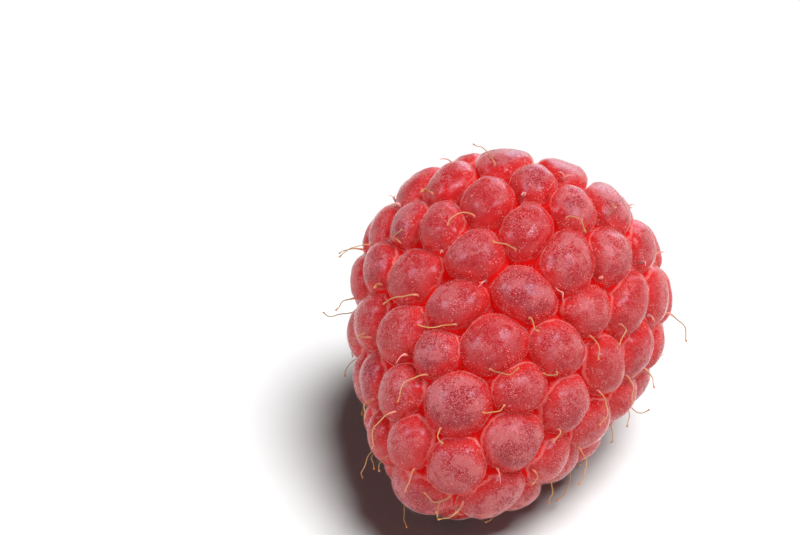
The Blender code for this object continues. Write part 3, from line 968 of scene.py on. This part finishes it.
# %% Where hairs grow
BALD_CREASE = 0.95
BALD_EASE = 0.08
LEAST_GROWTH = 0.02
CROWN_GROWTH = 0.45
RING_GROWTH = 0.9
RING_PLACE = 0.85
RING_WIDTH = 0.07
BALD_HOLLOW = 0.85
ring_growth = RING_GROWTH * np.exp(-(((far - RING_PLACE) / RING_WIDTH) ** 2))
growth = np.clip((BALD_CREASE - far) / BALD_EASE, LEAST_GROWTH, 1) * (CROWN_GROWTH + ring_growth)
growth = growth * (1 - BALD_HOLLOW * hollow) * ~pressed
weight = area * growth[triangles].mean(axis=1)
print(f"Down grows as if on {weight.sum():.0f} square mm")

# %% Spots on triangles


def corner_mix(values, draw_a, draw_b):
    """Values at random spots of triangles: a + (b - a) root(u) (1 - v) + (c - a) root(u) v."""
    a, b, c = (values[:, i] for i in range(3))
    root, v = np.sqrt(draw_a), draw_b
    if values.ndim == 3:
        root, v = root[:, None], v[:, None]
    return a + (b - a) * root * (1 - v) + (c - a) * root * v


print("Two draws of 0 give the first corner:", corner_mix(np.eye(3)[None], np.zeros(1), np.zeros(1))[0])

# %% Finish of the down
down_finish = Finish("pale_down")
down_finish.shader.inputs["Base Color"].default_value = 0.82, 0.42, 0.38, 1
down_finish.shader.inputs["Roughness"].default_value = 0.55
down_finish.shader.inputs["Specular IOR Level"].default_value = 0.3
print("Down is pale pink and a little rough")

# %% The shape of a hair
HAIR_WIDTH = 0.010
HAIR_SINK = 0.02
HAIR_SIDE = 0.31, 0.72, 0.62


def spikes(roots, ways, lengths, width):
    """Closed spikes: three foot points at thirds of a turn round each root, and one tip."""
    side = unit(np.cross(ways, HAIR_SIDE))
    other = np.cross(ways, side)
    thirds = np.arange(3) * 2 * math.pi / 3
    foot = np.cos(thirds)[:, None, None] * side + np.sin(thirds)[:, None, None] * other
    foot = roots - ways * HAIR_SINK + foot * width / 2
    tips = roots + ways * lengths[:, None]
    points = np.stack([*foot, tips], axis=1).reshape(-1, 3)
    pattern = np.array([(0, 1, 3), (1, 2, 3), (2, 0, 3), (2, 1, 0)])
    return points, (pattern[None] + 4 * np.arange(len(roots))[:, None, None]).reshape(-1, 3)


print("A hair has", len(spikes(np.zeros((1, 3)), np.eye(3)[:1], np.ones(1), HAIR_WIDTH)[1]), "faces")

# %% Grow the down
DOWN_SEED = 100
DOWN_PIECES = 4
HAIRS_A_PIECE = 17000
HAIR_LENGTHS = 0.05, 0.32
LONG_HAIRS_ARE_RARE = 5.0
HAIR_LEAN = 0.45
GROUND_CLEARANCE = 0.02


def grow_down(number):
    """One piece of down, whose hairs stand at random spots, lean a little and clear the ground."""
    draw = np.random.default_rng(DOWN_SEED + number)
    own = draw.choice(len(triangles), HAIRS_A_PIECE, p=weight / weight.sum())
    u, v = draw.uniform(0, 1, (2, HAIRS_A_PIECE))
    roots = corner_mix(points[triangles[own]], u, v)
    ways = unit(corner_mix(facing[triangles[own]], u, v))
    ways = unit(ways + draw.normal(size=ways.shape) * HAIR_LEAN)
    lengths = np.interp(draw.uniform(0, 1, HAIRS_A_PIECE) ** LONG_HAIRS_ARE_RARE, [0, 1], HAIR_LENGTHS)
    clear = roots[:, 2] + np.minimum(ways[:, 2], 0) * lengths > GROUND_CLEARANCE
    hair_points, hair_triangles = spikes(roots[clear], ways[clear], lengths[clear], HAIR_WIDTH)
    down = triangle_object(f"down_{number}", hair_points, hair_triangles, down_finish.material)
    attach(down, "root")
    return clear.sum()


hairs = sum(grow_down(number) for number in range(1, DOWN_PIECES + 1))
print(f"{hairs} hairs in {DOWN_PIECES} pieces")

# %% [markdown]
# ## The styles
#
# Each drupelet once had a style, the thread that took the pollen. Most break off and leave a pale nub,
# and some stay, dry, curled and slightly crimped. A bevelled curve would do, but a style swells at its
# foot and ends in a small knob, so it is a round section carried along a path, with its own size at each
# step.
#
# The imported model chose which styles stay: those that clear every neighbour and the ground. Its domes are
# plain circles of one depth, so the same choice is made here from the same circles, and each path is then
# rooted on the finer dome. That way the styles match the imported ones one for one.

# %% Where a style is rooted
CIRCLE_FULLNESS = 2
PACKED_DEPTH = 1.75


def style_spot(dome, way=STYLE_PLACE):
    """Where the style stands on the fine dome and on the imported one, and the outward normal there."""
    ball, index = style_ball(dome, way)
    place, normal = on_skin(ball)
    fine = place + normal * dome.height(way * dome.share[index])
    packed = place + normal * dome.height(way * dome.oval[index], CIRCLE_FULLNESS, PACKED_DEPTH)
    return fine, packed, normal


print(f"The packed domes are {PACKED_DEPTH} mm deep, and the ones here {DOME_DEPTH} mm")

# %% The path of a style
STYLE_ROOT = 0.34
STYLE_START_LEAN = 0.35


def style_path(root, normal, heading, length, end_lean, swing, points):
    """A thread that leaves along the normal, leans over towards its heading and swings aside as it goes.

    The lean eases from its start to its end with t t (3 - 2 t), the swing grows with t t, and the path
    is the running sum of the directions between one point and the next.
    """
    t = np.linspace(0, 1, points)
    lean = STYLE_START_LEAN + (end_lean - STYLE_START_LEAN) * t * t * (3 - 2 * t)
    across = np.cross(normal, heading)
    turn = swing * t * t
    flat = heading * np.cos(turn)[:, None] + across * np.sin(turn)[:, None]
    way = normal * np.cos(lean)[:, None] + flat * np.sin(lean)[:, None]
    hops = (way[1:] + way[:-1]) / 2 * length / (points - 1)
    path = root + np.vstack([np.zeros(3), np.cumsum(hops, axis=0)])
    path[0] -= normal * STYLE_ROOT
    return path


def resting(points):
    """Places in the fruit's own frame carried to where it lies."""
    return lopsided(points) @ turn.T + slide


print("The middle of the mouth has come to rest at", np.round(resting(np.zeros((1, 3)))[0], 1))

# %% Choose and draw the styles
STYLE_COUNT = len(style_nodes)
STYLE_POINTS = 7
FINE_STEPS = 6
STYLE_LOWEST = 2.5
STYLE_CLEARANCE = 0.12
STYLE_LENGTHS = 1.3, 3.2
SHORT_STYLES_ARE_COMMON = 1.3
STYLE_END_LEANS = 1.0, 1.9
STYLE_SWING = 1.5
STYLE_ASIDE = 1.2
NO_STYLES_NEAR_RIM = 1
style_lines, bare = [], []
for number in random.permutation(len(domes)):
    dome = domes[number]
    root, packed_root, up = style_spot(dome)
    draw = random.uniform(0, 1, 5)
    too_low = resting(packed_root[None])[0, 2] < STYLE_LOWEST
    near_rim = dome.length > rim_length - NO_STYLES_NEAR_RIM
    if near_rim or too_low or len(style_lines) == STYLE_COUNT:
        if dome.outer:
            bare.append(number)
        continue
    tipward = unit(np.array([0, 0, 1]) - up * up[2])
    aside = STYLE_ASIDE * (2 * draw[0] - 1)
    heading = tipward * math.cos(aside) + np.cross(up, tipward) * math.sin(aside)
    length = np.interp(draw[1] ** SHORT_STYLES_ARE_COMMON, [0, 1], STYLE_LENGTHS)
    end_lean = np.interp(draw[2], [0, 1], STYLE_END_LEANS)
    shape = up, heading, length, end_lean, STYLE_SWING * (2 * draw[3] - 1)
    path = style_path(packed_root, *shape, STYLE_POINTS)
    gaps = np.linalg.norm(path[:, None] - ball_middles, axis=-1) - ball_sizes
    if np.delete(gaps, number, axis=1).min() > STYLE_CLEARANCE:
        style_lines.append(resting(style_path(root, *shape, STYLE_POINTS * FINE_STEPS)))
    else:
        bare.append(number)
print(f"{len(style_lines)} styles, and {len(bare)} drupelets left without one")

# %% Finish of the styles
FIBRE_FOOT = 0.78, 0.26, 0.18, 1
FIBRE_OLIVE = 0.34, 0.20, 0.07, 1
FIBRE_GOLD = 0.52, 0.27, 0.10, 1
FIBRE_TIP = 0.52, 0.19, 0.04, 1
STYLE_LIGHT_DEPTH = 0.3 * MM
STYLE_RELIEF = 0.01 * MM


def dried_style():
    """Olive and gold in blotches along the thread, pink at the foot and brown at the knob."""
    finish = Finish("dried_style_finish")
    on = finish.number("on")
    straw = finish.mix(finish.ramp(finish.noise(2.5, 1.0), 0.35, 0.65), FIBRE_OLIVE, FIBRE_GOLD)
    straw = finish.mix(finish.ramp(on, 0.22, 0.04), straw, FIBRE_FOOT)
    straw = finish.mix(finish.ramp(on, 0.90, 0.97), straw, FIBRE_TIP)
    finish.join(straw, finish.shader.inputs["Base Color"])
    finish.shader.inputs["Roughness"].default_value = 0.45
    finish.thick(0.3, (1.0, 0.5, 0.2), STYLE_LIGHT_DEPTH)
    finish.rough(finish.noise(0.05), 0.4, STYLE_RELIEF)
    return finish.material


style_finish = dried_style()
print("Styles go from", FIBRE_FOOT[:3], "at the foot to", FIBRE_TIP[:3], "at the knob")

# %% A round section along a path
STYLE_SIDES = 8


def swept(path, radii, sides=STYLE_SIDES):
    """A round section carried along a path, closed by a point at each end.

    The section's plane is square to the path. Its first direction is square to both the path and the
    one direction that the path bends round least, found from the path's own directions.
    """
    way = unit(np.gradient(path, axis=0))
    reference = np.linalg.svd(way)[2][-1]
    side = unit(np.cross(way, reference))
    other = np.cross(way, side)
    angle = np.arange(sides) * 2 * math.pi / sides
    wheel = np.cos(angle)[None, :, None] * side[:, None] + np.sin(angle)[None, :, None] * other[:, None]
    skin = path[:, None] + wheel * radii[:, None, None]
    points = np.vstack([skin.reshape(-1, 3), path[0], path[-1]])
    rows = np.arange(len(path) * sides).reshape(len(path), sides)
    after = np.roll(rows, -1, axis=1)
    upper = np.stack([rows[:-1], after[:-1], after[1:]], -1).reshape(-1, 3)
    lower = np.stack([rows[:-1], after[1:], rows[1:]], -1).reshape(-1, 3)
    start, end = len(points) - 2, len(points) - 1
    first_fan = np.column_stack([np.full(sides, start), after[0], rows[0]])
    last_fan = np.column_stack([np.full(sides, end), rows[-1], after[-1]])
    on = np.repeat(np.linspace(0, 1, len(path)), sides)
    return points, np.vstack([upper, lower, first_fan, last_fan]), np.concatenate([on, [0, 1]])


print(f"A section has {STYLE_SIDES} sides")

# %% How thick a style is
THREAD_RADIUS = 0.040
THREAD_THINNING = 0.3
FOOT_RADIUS = 0.072
FOOT_REACH = 0.45
KNOB_RADIUS = 0.062
KNOB_REACH = 0.10


def style_radii(steps, length):
    """A thread that thins evenly, with a bell added at its foot and another one reach short of its end."""
    t = np.linspace(0, 1, steps)
    foot = (FOOT_RADIUS - THREAD_RADIUS) * np.exp(-((t * length / FOOT_REACH) ** 2))
    thread = THREAD_RADIUS * (1 - THREAD_THINNING * t)
    knob_rise = KNOB_RADIUS - THREAD_RADIUS * (1 - THREAD_THINNING)
    knob = knob_rise * np.exp(-(((1 - t) * length / KNOB_REACH - 1) ** 2))
    return foot + thread + knob


print("Five radii along a style of 2 mm:", np.round(style_radii(5, 2.0), 3))

# %% Crimp and sweep the styles
CRIMP_SEED = 11
CRIMP_LENGTH = 1.6
CRIMP_HEIGHT = 0.08


def crimped(path, length, draw):
    """The path with a sine wave along each axis, each from its own random start, growing from the foot."""
    t = np.linspace(0, 1, len(path))[:, None]
    start = draw.uniform(0, 2 * math.pi, 3)
    wave = np.sin(start + 2 * math.pi * t * length / CRIMP_LENGTH) - np.sin(start)
    return path + CRIMP_HEIGHT * t * wave


crimp_draw = np.random.default_rng(CRIMP_SEED)
for name, path in zip(style_nodes, style_lines):
    length = np.linalg.norm(np.diff(path, axis=0), axis=-1).sum()
    path = crimped(path, length, crimp_draw)
    path[:, 2] = np.maximum(path[:, 2], FOOT_RADIUS + GROUND_CLEARANCE)
    tube_points, tube_triangles, on = swept(path, style_radii(len(path), length))
    thread = triangle_object(f"dried_{name}", tube_points, tube_triangles, style_finish, on=on)
    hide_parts(name)
    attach(thread, "root")
print(f"{len(style_lines)} styles of {len(tube_triangles)} triangles each")

# %% [markdown]
# ## The nubs
#
# Where a style has broken off, a short pale fibre is left, soft and pinkish because the flesh shows
# through it. The spikes of the down could be scaled up for this, but a nub bends and has a thick soft
# foot. So these are the same swept shape as the styles, only shorter, and all in one piece.

# %% Finish of the nubs
nub_finish = Finish("pale_nub")
nub_finish.shader.inputs["Base Color"].default_value = 0.87, 0.31, 0.26, 1
nub_finish.shader.inputs["Specular IOR Level"].default_value = 0.2
nub_finish.shader.inputs["Roughness"].default_value = 0.45
nub_finish.thick(0.6, (1.0, 0.5, 0.4), 0.4 * MM)
print("Nubs are paler than the flesh and let more light through than the styles")

# %% Sweep the nubs
NUB_SEED = 21
NUB_PLACE = 0.82
NUB_STRANDS = 1, 3
NUB_LENGTHS = 0.4, 1.1
NUB_STEPS = 16
NUB_ASIDE = 1.4
NUB_END_LEANS = 1.2, 1.7
NUB_FOOT = 0.11
NUB_TAPER = 0.20
NUB_THREAD = 0.030
NUB_THINNING = 0.5
nub_draw = np.random.default_rng(NUB_SEED)
nub_points, nub_triangles, nub_count = [], [], 0
for number in bare:
    root, _, up = style_spot(domes[number], NUB_PLACE)
    tipward = unit(np.array([0, 0, 1]) - up * up[2])
    for _ in range(nub_draw.integers(*NUB_STRANDS)):
        aside, bend = nub_draw.uniform(-NUB_ASIDE, NUB_ASIDE, 2)
        heading = tipward * math.cos(aside) + np.cross(up, tipward) * math.sin(aside)
        length = nub_draw.uniform(*NUB_LENGTHS)
        end_lean = nub_draw.uniform(*NUB_END_LEANS)
        path = resting(style_path(root, up, heading, length, end_lean, bend, NUB_STEPS))
        t = np.linspace(0, 1, NUB_STEPS)
        foot = (NUB_FOOT - NUB_THREAD) * np.exp(-t * length / NUB_TAPER)
        radii = NUB_THREAD * (1 - NUB_THINNING * t) + foot
        if path[:, 2].min() > NUB_FOOT:
            tube_points, tube_triangles, _ = swept(path, radii)
            nub_points.append(tube_points)
            nub_triangles.append(tube_triangles + nub_count)
            nub_count += len(tube_points)
nubs = triangle_object("nubs", np.vstack(nub_points), np.vstack(nub_triangles), nub_finish.material)
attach(nubs, "root")
print(f"{len(nub_points)} nubs on {len(bare)} drupelets")

# %% [markdown]
# ## Floor, tent and camera
#
# The fruit lies on a plain grey floor, which has a far light of its own, strong enough to make it look
# white while the shadow on it stays soft. Round both stands a light tent: cloth that is bright in a band
# over the horizon and dim above it. An evenly white sky would be simpler, but it washes out the red of
# the crowns, and with the tent only their edges pick up the pale cloth. The camera looks down on the
# fruit from its tip's side through a long lens, which keeps the near drupelets from swelling.

# %% Floor
FLOOR_SIZE = 3.0
FLOOR_GREY = 0.42, 0.42, 0.42, 1


def plain_floor():
    """A square with its middle under the fruit, big enough to reach past every view."""
    half = FLOOR_SIZE / 2
    square = [(-half, -half, 0), (half, -half, 0), (half, half, 0), (-half, half, 0)]
    mesh = bpy.data.meshes.new("floor")
    mesh.from_pydata(square, [], [(0, 1, 2, 3)])
    finish = Finish("plain_grey")
    finish.shader.inputs["Base Color"].default_value = FLOOR_GREY
    finish.shader.inputs["Roughness"].default_value = 0.8
    mesh.materials.append(finish.material)
    floor = bpy.data.objects.new("floor", mesh)
    bpy.context.collection.objects.link(floor)
    return floor


floor = plain_floor()
print(f"The floor is {FLOOR_SIZE} m wide")

# %% Light tent
HORIZON_LIGHT = 1.0
ZENITH_LIGHT = 0.02
HORIZON_TOP = 0.18
HORIZON_FADE = 0.34


def light_tent():
    """A sky that is bright in a band over the horizon and dim above it, as a round tent of cloth is."""
    world = bpy.data.worlds.new("light_tent")
    world.use_nodes = True
    nodes, links = world.node_tree.nodes, world.node_tree.links
    height = nodes.new("ShaderNodeSeparateXYZ")
    links.new(nodes.new("ShaderNodeTexCoord").outputs["Generated"], height.inputs[0])
    fade = nodes.new("ShaderNodeMapRange")
    fade.interpolation_type = "SMOOTHSTEP"
    links.new(height.outputs["Z"], fade.inputs["Value"])
    levels = {"From Min": HORIZON_TOP, "From Max": HORIZON_FADE,
              "To Min": HORIZON_LIGHT, "To Max": ZENITH_LIGHT}
    for name, value in levels.items():
        fade.inputs[name].default_value = value
    background = nodes["Background"]
    background.inputs["Color"].default_value = 1, 1, 1, 1
    links.new(fade.outputs["Result"], background.inputs["Strength"])
    return world


bpy.context.scene.world = light_tent()
bpy.context.scene.view_settings.view_transform = "Standard"
print(f"The tent is {HORIZON_LIGHT} bright over the horizon and {ZENITH_LIGHT} above")

# %% Camera
MIDDLE_HEIGHT = 10.8
CAMERA_TURN = math.radians(14)
CAMERA_RISE = math.radians(33)
CAMERA_DISTANCE = 0.143
AIM_ACROSS = -0.0063
AIM_UP = 0.0040
middle = np.append((berry_low + berry_high)[:2] / 2, MIDDLE_HEIGHT) * MM
back = np.array([math.sin(CAMERA_TURN) * math.cos(CAMERA_RISE),
                 -math.cos(CAMERA_TURN) * math.cos(CAMERA_RISE), math.sin(CAMERA_RISE)])
right = np.array([math.cos(CAMERA_TURN), math.sin(CAMERA_TURN), 0])
above = np.cross(back, right)
aim = middle + right * AIM_ACROSS + above * AIM_UP
camera = bpy.data.objects.new("camera", bpy.data.cameras.new("camera"))
bpy.context.collection.objects.link(camera)
camera.data.lens = 100
camera.data.sensor_width = 36
camera.data.clip_start = 0.005
camera.location = aim + back * CAMERA_DISTANCE
camera.rotation_euler = Vector(back).to_track_quat("Z", "Y").to_euler()
bpy.context.scene.camera = camera
print("The camera stands at", np.round(camera.location, 3))

# %% [markdown]
# ## The lights
#
# Small lights would make hard white spots on every drupelet, so the fruit gets one far, wide light from
# behind and above, and four soft boxes. Two of the boxes are cool and stand before it, which gives the
# crowns their bluish shine, and a third lights its far side. The far light and the fill in front leave no
# shine of their own. Light linking says which light falls on what: the fruit's lights leave the floor out,
# so it stays even, and the floor's light falls on nothing else, though the fruit still shades it.

# %% Who is lit by what
fruit_only = bpy.data.collections.new("all_but_the_floor")
fruit_only.objects.link(floor)
fruit_only.collection_objects[0].light_linking.link_state = "EXCLUDE"
floor_only = bpy.data.collections.new("floor_alone")
floor_only.objects.link(floor)
print("The floor is left out of", fruit_only.name, "and is the only one in", floor_only.name)

# %% Soft boxes
LIGHT_DISTANCE = 0.30
COOL_WHITE = 0.62, 0.78, 1.0


def face_the_fruit(light, way):
    """The light looks back along a way from the fruit, which is given as right, up and to the camera."""
    ray = way[0] * right + way[1] * above + way[2] * back
    light.rotation_euler = Vector(ray).to_track_quat("Z", "Y").to_euler()
    bpy.context.collection.objects.link(light)
    return ray


def soft_box(name, way, size, power, colour=(1.0, 1.0, 1.0)):
    """A rectangle of light at LIGHT_DISTANCE from the fruit."""
    light = bpy.data.objects.new(name, bpy.data.lights.new(name, "AREA"))
    light.data.shape = "RECTANGLE"
    light.data.size, light.data.size_y = size
    light.data.energy = power
    light.data.color = colour
    light.location = middle + unit(face_the_fruit(light, way)) * LIGHT_DISTANCE
    light.light_linking.receiver_collection = fruit_only
    return light


fill = soft_box("fill_box", (-0.1, 0.05, 0.99), size=(0.15, 0.15), power=0.24)
fill.visible_glossy = False
soft_box("left_box", (-0.72, 0.36, 0.59), size=(0.09, 0.13), power=0.42, colour=COOL_WHITE)
soft_box("front_box", (0.42, 0.46, 0.78), size=(0.09, 0.09), power=0.48, colour=COOL_WHITE)
soft_box("rear_box", (0.32, 0.77, -0.55), size=(0.18, 0.18), power=0.36, colour=COOL_WHITE)
print(f"Four soft boxes stand {LIGHT_DISTANCE} m from the fruit")

# %% Far lights
SUN_WAY = 0.40, 0.80, 0.45
SUN_STRENGTH = 2.95
SUN_SOFTNESS = math.radians(34)
FLOOR_SUN_WAY = 0.30, 0.72, 0.62
FLOOR_SUN_STRENGTH = 8.2
FLOOR_SUN_SOFTNESS = math.radians(30)


def far_light(name, way, strength, softness, receivers):
    """A light so far away that it is even all over: a sun, as wide as its softness in radians."""
    sun = bpy.data.objects.new(name, bpy.data.lights.new(name, "SUN"))
    sun.data.energy = strength
    sun.data.angle = softness
    face_the_fruit(sun, way)
    sun.light_linking.receiver_collection = receivers
    return sun


sun = far_light("far_light", SUN_WAY, SUN_STRENGTH, SUN_SOFTNESS, fruit_only)
sun.visible_glossy = False
far_light("floor_light", FLOOR_SUN_WAY, FLOOR_SUN_STRENGTH, FLOOR_SUN_SOFTNESS, floor_only)
print("One far light for the fruit and one for the floor")
